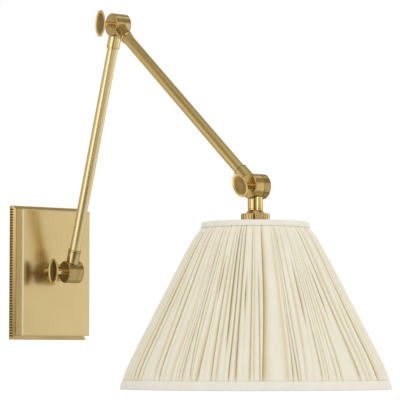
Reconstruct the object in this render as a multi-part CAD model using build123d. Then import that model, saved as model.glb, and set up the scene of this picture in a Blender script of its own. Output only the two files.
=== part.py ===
from build123d import *
import os
from math import asin, cos, degrees, hypot, pi, radians, sin

os.makedirs("parts", exist_ok=True)

# Double-arm wall sconce, in millimetres: the origin is the centre of the wall plate's back,
# X runs along the wall, Y goes into the wall and Z is up, so the arms reach out along -Y.

# Wall plate: back frame with a reeded edge
frame_width = 105.8
frame_height = 163.6
frame_depth = 6.4
frame_lip = 0.8
flute_pitch = 3.3
flute_gap = 1.7
flute_depth = 1.6
frame_corner_land = 3.0
frame_opening_radius = 14.0
border_rise = 1.4
border_edge = 0.4
border_land = 0.3

# Wall plate: raised box cover
ledge = 4.8
cover_fit = 0.1
cover_seat = 5.0
cover_depth = 17.6
cover_wall = 2.0
cover_bevel = 1.4
lug_side = 9.0
lug_inset = 6.6
cover_screw_radius = 1.5
cover_screw_head_radius = 3.0
cover_screw_length = 14.0
cover_screw_sink = 0.3
screw_fit = 0.06

# Mounting bar behind the cover
bar_width = 26.0
bar_thickness = 2.5
bar_end_gap = 0.6
bar_tab_height = 17.0
bar_slot_spacing = 88.9
bar_slot_length = 14.0
bar_slot_width = 5.0
bar_centre_radius = 7.0
side_screw_radius = 2.0
side_screw_height = 13.0
side_screw_sink = 0.4
side_screw_end = 3.0
ground_screw_radius = 2.0
ground_screw_head_radius = 4.0
ground_screw_head = 2.2
ground_screw_length = 5.0
ground_screw_place = 22.0

# Post fixings
nipple_radius = 4.75
nipple_bore_radius = 3.2
nipple_grip = 11.0
nipple_spare = 2.0
collar_radius = 11.0
collar_thickness = 2.9
collar_chamfer = 0.8
washer_radius = 9.0
washer_thickness = 1.2
nut_flats = 16.0
nut_thickness = 4.0

# Terminal block inside the cover
terminal_width = 26.0
terminal_height = 13.0
terminal_depth = 10.0
terminal_place = 38.0
terminal_pitch = 8.0
terminal_bore_radius = 1.7
terminal_screw_radius = 1.5
terminal_screw_depth = 2.8

# Swivel knuckles: two halves on one screw, seam a little right of the arms
hub_radius = 13.5
hub_left_face = -8.4
hub_seam = 3.0
hub_right_face = 12.4
hub_chamfer = 0.9
hub_end_wall = 3.0
chamber_radius = 10.0
boss_radius = 4.6
seam_washer_outer = 13.2
seam_washer_inner = 10.4
seam_washer_thickness = 0.8
seam_play = 0.05
stem_radius = 7.7
stem_reach = 28.5
upper_stem_reach = 31.3
stem_chamfer = 0.6
groove_set = 1.8
groove_width = 0.7
groove_depth = 0.35
stem_sweep_gap = 0.5
left_stem_plane = -0.6
right_stem_plane = 0.8
wire_way_radius = 1.5
left_wire_way = -1.5
right_wire_way = 5.2

# Thumb paddles and their screws
thread_radius = 2.5
thread_fit = 0.1
thread_end_gap = 0.8
shaft_radius = 3.4
shoulder_shaft = 12.6
elbow_shaft = 11.8
tilt_shaft = 8.4
paddle_long = 31.8
paddle_short = 20.4
paddle_thickness = 3.4
paddle_rim = 0.7
paddle_rim_thickness = 1.2
paddle_back_taper = 5.0
paddle_dish = 2.1
paddle_edge = 0.4
dish_shares = (1.0, 0.8, 0.55, 0.3)
tenon_radius = 2.0
tenon_fit = 0.03
shoulder_paddle_turn = 0.0
elbow_paddle_turn = 0.0
tilt_paddle_turn = -50.0

# Arms in the pose of the photograph
tube_radius = 6.35
tube_wall = 1.2
tube_socket = 11.0
tube_fit = 0.03
lower_arm_length = 307.0
lower_arm_lean = 19.6
upper_arm_length = 345.7
upper_arm_drop = 37.5
lead_radius = 1.1
lead_gap = 0.3

# Neck and lamp holder
neck_radius = 8.2
neck_reach = 26.2
neck_ring_radius = 10.5
neck_ring_height = 3.2
ring_nut_radius = 15.3
ring_nut_height = 8.2
ring_nut_chamfer = 0.6
ring_nut_flutes = 26
ring_nut_flute_radius = 1.2
spider_washer_margin = 2.2
spider_washer_thickness = 1.6
spider_nut_flats = 19.0
spider_nut_thickness = 3.5
socket_cap_height = 15.0
socket_cap_skirt = 8.0
socket_cap_top_radius = 9.0
socket_shell_radius = 16.8
socket_shell_length = 40.0
socket_wall = 0.8
socket_lap = 5.0
socket_fit = 0.1
sleeve_wall = 0.9
core_height = 13.0
core_clearance = 0.2
screw_shell_length = 23.0
screw_shell_wall = 0.5
contact_radius = 4.0
contact_thickness = 0.8

# Bulb
bulb_cap_radius = 13.1
bulb_cap_length = 22.0
bulb_cap_gap = 0.2
bulb_tip_radius = 4.8
bulb_tip_height = 2.6
bulb_neck_radius = 12.6
bulb_radius = 29.0
bulb_length = 78.0
bulb_shoulder_angle = 38.0
bulb_neck_length = 6.3
bulb_wall = 0.8

# Shade
shade_drop = 39.2
shade_height = 176.7
top_band_radius = 57.3
top_band_flare = 0.9
top_band_height = 6.3
bottom_band_radius = 144.2
bottom_band_flare = 2.6
bottom_band_height = 9.5
band_thickness = 0.8
band_gap = 0.15
bulge_drop = 16.1
bulge_puff = 3.7
skirt_rise = 33.0
skirt_puff = 3.4
cloth_thickness = 0.6
cloth_tuck = 0.4
gather_count = 84
gather_wander = 0.3
gather_beat = 2.4
gather_cross_beat = 5.3
gather_depth_pressed = 0.5
gather_depth_top = 1.7
gather_depth_bottom = 2.6
ring_wire_radius = 1.5
rib_wire_radius = 1.2
spoke_wire_radius = 1.2
wire_gap = 0.3
weld_gap = 0.1
top_ring_drop = 3.4
bottom_ring_rise = 3.2
spoke_count = 3
spoke_angle = 36.0
ribs_per_spoke = 2
lining_thickness = 0.6

# How far a cutting shape runs past the faces it opens
cut_over = 1.0

# Places worked out from the sizes
cover_width = frame_width - 2 * ledge
cover_height = frame_height - 2 * ledge
opening_width = cover_width - 2 * cover_seat
opening_height = cover_height - 2 * cover_seat
plate_depth = frame_depth + cover_depth
pivot_reach = plate_depth + collar_thickness + stem_reach
seam_right = hub_seam + seam_washer_thickness + seam_play

shoulder_y = -pivot_reach
shoulder_z = 0.0
elbow_y = shoulder_y - lower_arm_length * sin(radians(lower_arm_lean))
elbow_z = shoulder_z + lower_arm_length * cos(radians(lower_arm_lean))
tilt_y = elbow_y - upper_arm_length * cos(radians(upper_arm_drop))
tilt_z = elbow_z - upper_arm_length * sin(radians(upper_arm_drop))

at_shoulder = Pos(0, shoulder_y, shoulder_z)
at_elbow = Pos(0, elbow_y, elbow_z)
at_tilt = Pos(0, tilt_y, tilt_z)
on_wall = Rot(90, 0, 0)
shade_axis = Pos(right_stem_plane, tilt_y, 0)

# Turn about X that points a stem, drawn along +Z, the right way
toward_wall = -90.0
up_lower_arm = lower_arm_lean
down_lower_arm = lower_arm_lean + 180.0
along_upper_arm = upper_arm_drop + 90.0
back_upper_arm = upper_arm_drop + 270.0
straight_down = 180.0


def save(shape, name):
    export_step(shape, "parts/" + name + ".step")


def bar_x(radius, start, end):
    """Round bar along the pivot axis."""
    return Pos((start + end) / 2, 0, 0) * Rot(0, 90, 0) * Cylinder(radius, end - start)


def rod(radius, start, end):
    """Round bar along +Z."""
    return Pos(0, 0, (start + end) / 2) * Cylinder(radius, end - start)


def tube(radius, bore, start, end):
    return rod(radius, start, end) - rod(bore, start - cut_over, end + cut_over)


def hex_nut(flats, bore, start, end):
    blank = extrude(RegularPolygon(flats / 2, 6, major_radius=False), end - start)
    return Pos(0, 0, start) * blank - rod(bore, start - cut_over, end + cut_over)


def turned(points):
    """Solid of revolution about Z from (radius, height) points."""
    outline = Polyline(*[(r, 0, z) for r, z in points], close=True)
    return revolve(make_face(outline), Axis.Z)


def reeded_side(start, along, inward, length):
    """Points of one side of the reeded outline, with evenly spaced vee grooves."""
    room = length - 2 * frame_corner_land
    count = round(room / flute_pitch)
    points = [start]
    for i in range(count):
        middle = frame_corner_land + room * (i + 0.5) / count
        for offset, depth in ((-flute_gap / 2, 0), (0, flute_depth), (flute_gap / 2, 0)):
            reach = middle + offset
            points.append(
                (
                    start[0] + along[0] * reach + inward[0] * depth,
                    start[1] + along[1] * reach + inward[1] * depth,
                )
            )
    return points


def make_wall_frame():
    half_w = frame_width / 2
    half_h = frame_height / 2
    outline = (
        reeded_side((-half_w, -half_h), (1, 0), (0, 1), frame_width)
        + reeded_side((half_w, -half_h), (0, 1), (-1, 0), frame_height)
        + reeded_side((half_w, half_h), (-1, 0), (0, -1), frame_width)
        + reeded_side((-half_w, half_h), (0, -1), (1, 0), frame_height)
    )
    plain = Rectangle(frame_width, frame_height)
    above_lip = frame_depth - frame_lip
    reeded = extrude(make_face(Polyline(*outline, close=True)), above_lip + border_rise)
    front = Pos(0, 0, frame_lip) * extrude(plain, above_lip) + sloped_border()
    body = extrude(plain, frame_lip) + (front & Pos(0, 0, frame_lip) * reeded)
    body -= extrude(
        RectangleRounded(opening_width, opening_height, frame_opening_radius), frame_depth
    )
    for place in lug_places():
        body -= place * rod(cover_screw_radius + screw_fit, 0, frame_depth)
        body -= place * countersink(screw_fit)
    return on_wall * body


def sloped_border():
    """Bevelled edging on the frame's front that the cover drops into."""
    outer = Rectangle(frame_width - 2 * border_edge, frame_height - 2 * border_edge)
    pocket_w = cover_width + 2 * cover_fit
    pocket_h = cover_height + 2 * cover_fit
    top = Rectangle(pocket_w + 2 * border_land, pocket_h + 2 * border_land)
    slope = loft([Pos(0, 0, frame_depth) * outer, Pos(0, 0, frame_depth + border_rise) * top])
    pocket = extrude(Rectangle(pocket_w, pocket_h), border_rise + cut_over)
    return slope - Pos(0, 0, frame_depth) * pocket


def lug_places():
    x = cover_width / 2 - lug_inset
    y = cover_height / 2 - lug_inset
    return [Pos(x, y, 0), Pos(-x, y, 0), Pos(x, -y, 0), Pos(-x, -y, 0)]


def countersink(extra):
    """Cone of a flush screw head, with its flat face at the plate's back."""
    depth = cover_screw_head_radius - cover_screw_radius
    wide = cover_screw_head_radius + extra
    return turned(
        [
            (0, 0),
            (wide, 0),
            (wide, cover_screw_sink),
            (wide - depth, cover_screw_sink + depth),
            (0, cover_screw_sink + depth),
        ]
    )


def make_wall_cover():
    body = extrude(Rectangle(cover_width, cover_height), cover_depth)
    body = chamfer(body.faces().sort_by(Axis.Z)[-1].edges(), cover_bevel)
    inside_w = cover_width - 2 * cover_wall
    inside_h = cover_height - 2 * cover_wall
    body -= extrude(Rectangle(inside_w, inside_h), cover_depth - cover_wall)
    for place in lug_places():
        lug = extrude(Rectangle(lug_side, lug_side), cover_depth - cover_wall)
        body += place * lug
    body = Pos(0, 0, frame_depth) * body
    for place in lug_places():
        body -= place * rod(cover_screw_radius + screw_fit, frame_depth, cover_screw_length)
    body -= Pos(left_stem_plane, 0, 0) * rod(nipple_radius + screw_fit, frame_depth, plate_depth)
    cross = Pos(0, 0, side_screw_height) * Rot(90, 0, 0)
    across = cover_height / 2 + cut_over
    body -= cross * rod(side_screw_radius + screw_fit, -across, across)
    return on_wall * body


def make_cover_screws():
    blank = rod(cover_screw_radius, cover_screw_sink, cover_screw_length - thread_end_gap)
    head_depth = cover_screw_head_radius - cover_screw_radius
    head = turned(
        [
            (0, cover_screw_sink),
            (cover_screw_head_radius, cover_screw_sink),
            (cover_screw_radius, cover_screw_sink + head_depth),
            (0, cover_screw_sink + head_depth),
        ]
    )
    screw = blank + head
    return on_wall * Compound([place * screw for place in lug_places()])


def make_mounting_bar():
    length = opening_height - 2 * bar_end_gap
    body = extrude(Rectangle(bar_width, length), bar_thickness)
    tab = extrude(Rectangle(bar_width, bar_thickness), bar_tab_height)
    for side in (-1, 1):
        body += Pos(0, side * (length - bar_thickness) / 2, 0) * tab
        slot = extrude(SlotOverall(bar_slot_length, bar_slot_width, rotation=90), bar_thickness)
        body -= Pos(0, side * bar_slot_spacing / 2, 0) * slot
    body -= rod(bar_centre_radius, 0, bar_thickness)
    body -= Pos(0, -ground_screw_place, 0) * rod(ground_screw_radius + screw_fit, 0, bar_thickness)
    cross = Pos(0, 0, side_screw_height) * Rot(90, 0, 0)
    body -= cross * rod(side_screw_radius + screw_fit, -length, length)
    return on_wall * body


def make_side_screws():
    outer = cover_height / 2 - side_screw_sink
    inner = opening_height / 2 - bar_end_gap - bar_thickness - side_screw_end
    screw = rod(side_screw_radius, inner, outer)
    raised = Pos(0, 0, side_screw_height)
    return on_wall * Compound([raised * Rot(90, 0, 0) * screw, raised * Rot(-90, 0, 0) * screw])


def make_ground_screw():
    body = rod(ground_screw_radius, 0, bar_thickness)
    body += rod(ground_screw_head_radius, bar_thickness, bar_thickness + ground_screw_head)
    body += rod(ground_screw_radius, 0, ground_screw_length)
    return on_wall * Pos(0, -ground_screw_place, 0) * body


def make_post_collar():
    front = plate_depth + collar_thickness
    body = rod(collar_radius, plate_depth, front)
    body = chamfer(body.faces().sort_by(Axis.Z)[-1].edges(), collar_chamfer)
    body -= rod(nipple_radius + screw_fit, plate_depth - cut_over, front + cut_over)
    return on_wall * Pos(left_stem_plane, 0, 0) * body


def make_post_nipple():
    front = plate_depth + collar_thickness + nipple_grip
    back = plate_depth - cover_wall - washer_thickness - nut_thickness - nipple_spare
    return on_wall * Pos(left_stem_plane, 0, 0) * tube(nipple_radius, nipple_bore_radius, back, front)


def make_post_washer():
    front = plate_depth - cover_wall
    ring = tube(washer_radius, nipple_radius + screw_fit, front - washer_thickness, front)
    return on_wall * Pos(left_stem_plane, 0, 0) * ring


def make_post_nut():
    front = plate_depth - cover_wall - washer_thickness
    nut = hex_nut(nut_flats, nipple_radius + screw_fit, front - nut_thickness, front)
    return on_wall * Pos(left_stem_plane, 0, 0) * nut


def terminal_ways():
    return [Pos(i * terminal_pitch, terminal_place, 0) for i in (-1, 0, 1)]


def make_terminal_block():
    back = plate_depth - cover_wall - terminal_depth
    body = extrude(Rectangle(terminal_width, terminal_height), terminal_depth)
    body = Pos(0, terminal_place, back) * body
    for way in terminal_ways():
        bore = Rot(90, 0, 0) * rod(terminal_bore_radius, -terminal_height, terminal_height)
        body -= way * Pos(0, 0, back + terminal_depth / 2) * bore
        hole_start = back - cut_over
        body -= way * rod(terminal_screw_radius + screw_fit, hole_start, back + terminal_screw_depth)
    return on_wall * body


def make_terminal_screws():
    back = plate_depth - cover_wall - terminal_depth
    screw = rod(terminal_screw_radius, back + terminal_screw_depth / 2, back + terminal_screw_depth)
    return on_wall * Compound([way * screw for way in terminal_ways()])


def knuckle(seam, face, plane, wire_way, radius, reach, bore, grip, through):
    """Half of a swivel, drawn at the pivot with its stem along +Z."""
    low = min(seam, face)
    high = max(seam, face)
    outward = 1 if face > seam else -1
    hub = bar_x(hub_radius, low, high)
    end = hub.faces().sort_by(Axis.X)[-1 if outward > 0 else 0]
    hub = chamfer(end.edges(), hub_chamfer)
    stem = rod(radius, hub_radius - hub_end_wall, reach)
    stem = Pos(plane, 0, 0) * chamfer(stem.faces().sort_by(Axis.Z)[-1].edges(), stem_chamfer)
    clear = hub_radius + stem_sweep_gap
    stem -= bar_x(clear, high, high + 3 * radius)
    stem -= bar_x(clear, low - 3 * radius, low)
    body = hub + stem
    chamber_end = face - outward * hub_end_wall
    chamber = bar_x(chamber_radius, min(seam, chamber_end), max(seam, chamber_end))
    body -= chamber - bar_x(boss_radius, low, high)
    drill_end = face if through else face - outward * hub_end_wall / 2
    body -= bar_x(thread_radius + thread_fit, min(seam, drill_end), max(seam, drill_end))
    body -= Pos(plane, 0, 0) * rod(bore, reach - grip, reach + cut_over)
    way_start = boss_radius + wire_way_radius
    body -= Pos(wire_way, 0, 0) * rod(wire_way_radius, way_start, reach)
    mouth = reach - groove_set
    groove = tube(radius + cut_over, radius - groove_depth, mouth - groove_width, mouth)
    return body - Pos(plane, 0, 0) * groove


def left_knuckle(reach, bore, grip):
    face = hub_left_face
    plane = left_stem_plane
    return knuckle(hub_seam, face, plane, left_wire_way, stem_radius, reach, bore, grip, True)


def right_knuckle(radius, reach, bore, grip):
    face = hub_right_face
    plane = right_stem_plane
    return knuckle(seam_right, face, plane, right_wire_way, radius, reach, bore, grip, False)


def seam_washer():
    ring = bar_x(seam_washer_outer, hub_seam, hub_seam + seam_washer_thickness)
    return ring - bar_x(seam_washer_inner, hub_seam - cut_over, seam_right + cut_over)


def clamp_screw(length):
    """Shaft with a shoulder on the left half and a thread that ends in the right half."""
    shoulder = hub_left_face - seam_play
    outer = shoulder - length
    body = bar_x(shaft_radius, outer, shoulder)
    body += bar_x(thread_radius, shoulder, hub_right_face - hub_end_wall / 2 - thread_end_gap)
    body += bar_x(tenon_radius, outer - paddle_thickness + paddle_dish, outer)
    return body


def oval(inset, share, height):
    """Oval of the paddle's outline, drawn in by an inset and then by a share."""
    long_half = (paddle_long / 2 - inset) * share
    short_half = (paddle_short / 2 - inset) * share
    return Pos(0, 0, height) * Ellipse(long_half, short_half)


def thumb_paddle(length, turn):
    """Oval paddle, hollowed for the thumb, with its long way up before it is turned."""
    inner = hub_left_face - seam_play - length
    rim = extrude(oval(0, 1, 0), paddle_rim_thickness)
    rim = fillet(rim.faces().sort_by(Axis.Z)[0].edges(), paddle_edge)
    back = loft([oval(0, 1, paddle_rim_thickness), oval(paddle_back_taper, 1, paddle_thickness)])
    floor_share = dish_shares[-1]
    hollow = []
    for share in dish_shares:
        depth = paddle_dish * (1 - share**2) / (1 - floor_share**2)
        hollow.append(oval(paddle_rim, share, depth))
    blank = rim + back - loft(hollow)
    blank -= rod(tenon_radius + tenon_fit, -cut_over, paddle_thickness + cut_over)
    return Rot(turn, 0, 0) * Pos(inner - paddle_thickness, 0, 0) * Rot(0, 90, 0) * blank


def arm_tube(length, reach, plane):
    """Tube between two stems, drawn along +Z from the pivot at its foot."""
    start = reach - tube_socket
    body = tube(tube_radius, tube_radius - tube_wall, start, length - start)
    return Pos(plane, 0, 0) * body


def arm_leads(length, reach, plane):
    start = reach - tube_socket
    place = tube_radius - tube_wall - lead_gap - lead_radius
    lead = rod(lead_radius, start, length - start)
    return Pos(plane, 0, 0) * Compound([Pos(0, place, 0) * lead, Pos(0, -place, 0) * lead])


def nipple_leads(start, end):
    place = nipple_bore_radius - lead_gap - lead_radius
    lead = rod(lead_radius, start, end)
    return Compound([Pos(place, 0, 0) * lead, Pos(-place, 0, 0) * lead])


# Wall plate
save(make_wall_frame(), "wall_frame")
save(make_wall_cover(), "wall_cover")
save(make_cover_screws(), "cover_screws")
save(make_mounting_bar(), "mounting_bar")
save(make_side_screws(), "side_screws")
save(make_ground_screw(), "ground_screw")
save(make_post_collar(), "post_collar")
save(make_post_nipple(), "post_nipple")
save(make_post_washer(), "post_washer")
save(make_post_nut(), "post_nut")
save(make_terminal_block(), "terminal_block")
save(make_terminal_screws(), "terminal_screws")

post_leads_back = plate_depth - cover_wall - washer_thickness - nut_thickness - nipple_spare
post_leads_front = plate_depth + collar_thickness + nipple_grip
post_leads = nipple_leads(post_leads_back, post_leads_front)
save(on_wall * Pos(left_stem_plane, 0, 0) * post_leads, "post_leads")

# Knuckle halves
tube_bore = tube_radius + tube_fit
nipple_bore = nipple_radius + screw_fit
post_half = left_knuckle(stem_reach, nipple_bore, nipple_grip)
left_half = left_knuckle(upper_stem_reach, tube_bore, tube_socket)
right_half = right_knuckle(stem_radius, stem_reach, tube_bore, tube_socket)
neck_half = right_knuckle(neck_radius, neck_reach, nipple_bore, nipple_grip)
save(at_shoulder * Rot(toward_wall, 0, 0) * post_half, "post_knuckle")
save(at_shoulder * Rot(up_lower_arm, 0, 0) * right_half, "lower_foot_knuckle")
save(at_elbow * Rot(down_lower_arm, 0, 0) * right_half, "lower_head_knuckle")
save(at_elbow * Rot(along_upper_arm, 0, 0) * left_half, "upper_foot_knuckle")
save(at_tilt * Rot(back_upper_arm, 0, 0) * left_half, "upper_head_knuckle")
save(at_tilt * Rot(straight_down, 0, 0) * neck_half, "neck_knuckle")

# Tubes and the leads in them
lower_place = at_shoulder * Rot(up_lower_arm, 0, 0)
upper_place = at_elbow * Rot(along_upper_arm, 0, 0)
save(lower_place * arm_tube(lower_arm_length, stem_reach, right_stem_plane), "lower_tube")
save(lower_place * arm_leads(lower_arm_length, stem_reach, right_stem_plane), "lower_leads")
save(upper_place * arm_tube(upper_arm_length, upper_stem_reach, left_stem_plane), "upper_tube")
save(upper_place * arm_leads(upper_arm_length, upper_stem_reach, left_stem_plane), "upper_leads")

# Seam washers, clamp screws and thumb paddles
swivels = (
    ("shoulder", at_shoulder, shoulder_shaft, shoulder_paddle_turn),
    ("elbow", at_elbow, elbow_shaft, elbow_paddle_turn),
    ("tilt", at_tilt, tilt_shaft, tilt_paddle_turn),
)
for name, place, length, turn in swivels:
    save(place * seam_washer(), name + "_washer")
    save(place * clamp_screw(length), name + "_screw")
    save(place * thumb_paddle(length, turn), name + "_paddle")

# Neck stack from the knuckle down, on the shade's axis
neck_end = tilt_z - neck_reach
ring_nut_top = neck_end - neck_ring_height
spider_top = ring_nut_top - ring_nut_height
spider_bottom = spider_top - spider_washer_thickness
cap_top = spider_bottom - spider_nut_thickness
shell_top = cap_top - socket_cap_height + socket_lap
shell_bottom = shell_top - socket_shell_length
thread_hole = nipple_radius + screw_fit

neck_ring = Pos(0, 0, neck_end - neck_ring_height / 2) * Cone(
    neck_ring_radius, neck_radius, neck_ring_height
)
neck_ring -= rod(thread_hole, ring_nut_top - cut_over, neck_end + cut_over)
save(shade_axis * neck_ring, "neck_ring")


def make_ring_nut():
    body = rod(ring_nut_radius, spider_top, ring_nut_top)
    body = chamfer(body.faces().sort_by(Axis.Z)[-1].edges(), ring_nut_chamfer)
    groove = rod(ring_nut_flute_radius, spider_top - cut_over, ring_nut_top + cut_over)
    for i in range(ring_nut_flutes):
        body -= Rot(0, 0, 360.0 * i / ring_nut_flutes) * Pos(ring_nut_radius, 0, 0) * groove
    return body - rod(thread_hole, spider_top - cut_over, ring_nut_top + cut_over)


save(shade_axis * make_ring_nut(), "shade_ring_nut")

nipple_top = neck_end + nipple_grip
nipple_bottom = cap_top - 2 * socket_wall - nipple_spare
save(shade_axis * tube(nipple_radius, nipple_bore_radius, nipple_bottom, nipple_top), "neck_nipple")
save(shade_axis * nipple_leads(nipple_bottom, nipple_top), "neck_leads")
spider_nut = hex_nut(spider_nut_flats, thread_hole, cap_top, spider_bottom)
save(shade_axis * spider_nut, "spider_nut")

# Lamp holder: cap, shell, insulating sleeve, core, screw shell and centre contact
cap_bottom = cap_top - socket_cap_height
shell_inner = socket_shell_radius - socket_wall
cap_radius = socket_shell_radius + socket_fit + socket_wall
cap_bend = cap_bottom + socket_cap_skirt
socket_cap = turned(
    [
        (thread_hole, cap_top),
        (socket_cap_top_radius, cap_top),
        (cap_radius, cap_bend),
        (cap_radius, cap_bottom),
        (cap_radius - socket_wall, cap_bottom),
        (cap_radius - socket_wall, cap_bend - socket_wall / 2),
        (socket_cap_top_radius - socket_wall, cap_top - 2 * socket_wall),
        (thread_hole, cap_top - 2 * socket_wall),
    ]
)
save(shade_axis * socket_cap, "socket_cap")
save(shade_axis * tube(socket_shell_radius, shell_inner, shell_bottom, shell_top), "socket_shell")
sleeve_outer = shell_inner - socket_fit
sleeve_inner = sleeve_outer - sleeve_wall
save(shade_axis * tube(sleeve_outer, sleeve_inner, shell_bottom, shell_top), "socket_sleeve")

core_top = shell_top
core_bottom = core_top - core_height
core = rod(sleeve_inner - core_clearance, core_bottom, core_top)
save(shade_axis * core, "socket_core")
screw_bore = bulb_cap_radius + bulb_cap_gap
screw_shell = tube(
    screw_bore + screw_shell_wall, screw_bore, core_bottom - screw_shell_length, core_bottom
)
save(shade_axis * screw_shell, "socket_screw_shell")
contact = rod(contact_radius, core_bottom - contact_thickness, core_bottom)
save(shade_axis * contact, "socket_contact")

# Bulb, screwed up against the centre contact
tip_top = core_bottom - contact_thickness
bulb_cap_top = tip_top - bulb_tip_height
bulb_cap_bottom = bulb_cap_top - bulb_cap_length
bulb_tip = Pos(0, 0, tip_top - bulb_tip_height / 2) * Cone(
    bulb_cap_radius - bulb_tip_height, bulb_tip_radius, bulb_tip_height
)
save(shade_axis * bulb_tip, "bulb_contact")
save(shade_axis * rod(bulb_cap_radius, bulb_cap_bottom, bulb_cap_top), "bulb_cap")


def make_bulb_glass():
    """Pear-shaped glass: straight neck, an eased shoulder and a round end, hollow inside."""
    centre = bulb_cap_bottom - bulb_length + bulb_radius

    def outline(shrink, top):
        round_r = bulb_radius - shrink
        neck_r = bulb_neck_radius - shrink
        lean = radians(bulb_shoulder_angle)
        shoulder = (round_r * cos(lean), 0, centre + round_r * sin(lean))
        start = (0, 0, centre - round_r)
        ball = ThreePointArc(start, (round_r, 0, centre), shoulder)
        ease = TangentArc(shoulder, (neck_r, 0, top - bulb_neck_length), tangent=ball % 1)
        rise = Polyline(ease @ 1, (neck_r, 0, top), (0, 0, top), start)
        return revolve(make_face(Curve() + [ball, ease] + rise.edges()), Axis.Z)

    return outline(0, bulb_cap_bottom) - outline(bulb_wall, bulb_cap_bottom - bulb_wall)


save(shade_axis * make_bulb_glass(), "bulb_glass")

# Shade levels, from the rim down, with the crest radius of the cloth and the depth of its gathers
shade_top = tilt_z - shade_drop
shade_bottom = shade_top - shade_height
top_inner = top_band_radius - band_thickness - band_gap
bottom_inner = bottom_band_radius - band_thickness - band_gap
free_top = shade_top - top_band_height
free_bottom = shade_bottom + bottom_band_height
free_top_r = top_inner + top_band_flare
free_bottom_r = bottom_inner - bottom_band_flare


def straight_side(height):
    """Radius at a height on the straight line between the two bands."""
    return free_top_r + (free_bottom_r - free_top_r) * (free_top - height) / (free_top - free_bottom)


bulge_z = shade_top - bulge_drop
skirt_z = shade_bottom + skirt_rise
cloth_rows = (
    (shade_top - cloth_tuck, top_inner, gather_depth_pressed),
    (free_top, free_top_r, gather_depth_pressed),
    (bulge_z, straight_side(bulge_z) + bulge_puff, gather_depth_top),
    (skirt_z, straight_side(skirt_z) + skirt_puff, gather_depth_bottom),
    (free_bottom, free_bottom_r, gather_depth_pressed),
    (shade_bottom + cloth_tuck, bottom_inner, gather_depth_pressed),
)


def gather_angle(i):
    """Valleys spread unevenly round the shade, as cloth gathers by hand."""
    wander = gather_wander * (sin(gather_beat * i) + sin(gather_cross_beat * i)) / 2
    return 2 * pi * (i + wander) / gather_count


def gathered_ring(height, crest, depth):
    """Closed row of scallops: crests on the outside, sharp valleys between them."""
    arcs = []
    valley = crest - depth
    for i in range(gather_count):
        start = gather_angle(i)
        end = gather_angle(i + 1) if i + 1 < gather_count else gather_angle(0) + 2 * pi
        middle = (start + end) / 2
        arcs.append(
            ThreePointArc(
                (valley * cos(start), valley * sin(start), height),
                (crest * cos(middle), crest * sin(middle), height),
                (valley * cos(end), valley * sin(end), height),
            )
        )
    return Wire(arcs)


def cloth_inside(height):
    """Radius of the cloth's inner face at a height, from the rows above."""
    rows = [(z, crest - depth - cloth_thickness) for z, crest, depth in cloth_rows]
    for (z_high, r_high), (z_low, r_low) in zip(rows, rows[1:]):
        if z_low <= height <= z_high:
            return r_low + (r_high - r_low) * (height - z_low) / (z_high - z_low)
    return rows[0][1] if height > rows[0][0] else rows[-1][1]


def make_shade_cloth():
    outside = loft([make_face(gathered_ring(*row)) for row in cloth_rows], ruled=True)
    inside = [(cloth_inside(z), z) for z, crest, depth in cloth_rows]
    top = (inside[0][0], inside[0][1] + cut_over)
    bottom = (inside[-1][0], inside[-1][1] - cut_over)
    return outside - turned([(0, top[1]), top, *inside, bottom, (0, bottom[1])])


def band(radius, flare, top, height):
    """Plain tape that stands on the cloth."""
    return turned(
        [
            (radius - band_thickness, top),
            (radius, top),
            (radius + flare, top - height),
            (radius + flare - band_thickness, top - height),
        ]
    )


save(shade_axis * make_shade_cloth(), "shade_cloth")
top_band = band(top_band_radius, top_band_flare, shade_top, top_band_height)
save(shade_axis * top_band, "shade_top_band")
bottom_band = band(
    bottom_band_radius - bottom_band_flare,
    bottom_band_flare,
    shade_bottom + bottom_band_height,
    bottom_band_height,
)
save(shade_axis * bottom_band, "shade_bottom_band")

# Wire frame of the shade
top_ring_z = shade_top - top_ring_drop
bottom_ring_z = shade_bottom + bottom_ring_rise
top_ring_r = cloth_inside(top_ring_z + ring_wire_radius) - wire_gap - ring_wire_radius
bottom_ring_r = cloth_inside(bottom_ring_z + ring_wire_radius) - wire_gap - ring_wire_radius


def slanted_rod(radius, start, end):
    """Rod in the XZ half plane between two (radius, height) points."""
    run = end[0] - start[0]
    fall = end[1] - start[1]
    turn = degrees(asin(run / hypot(run, fall)))
    if fall < 0:
        turn = 180.0 - turn
    return Pos(start[0], 0, start[1]) * Rot(0, turn, 0) * rod(radius, 0, hypot(run, fall))


spider_washer_radius = ring_nut_radius + spider_washer_margin


def make_spider():
    middle = (spider_top + spider_bottom) / 2
    body = rod(spider_washer_radius, spider_bottom, spider_top)
    body += Pos(0, 0, top_ring_z) * Torus(top_ring_r, ring_wire_radius)
    inner = (spider_washer_radius - spoke_wire_radius, middle)
    spoke = slanted_rod(spoke_wire_radius, inner, (top_ring_r, top_ring_z))
    for i in range(spoke_count):
        body += Rot(0, 0, spoke_angle + 360.0 * i / spoke_count) * spoke
    body -= rod(thread_hole, spider_bottom - spoke_wire_radius, spider_top + spoke_wire_radius)
    return body


save(shade_axis * make_spider(), "shade_spider")
save(shade_axis * Pos(0, 0, bottom_ring_z) * Torus(bottom_ring_r, ring_wire_radius), "shade_bottom_ring")

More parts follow.
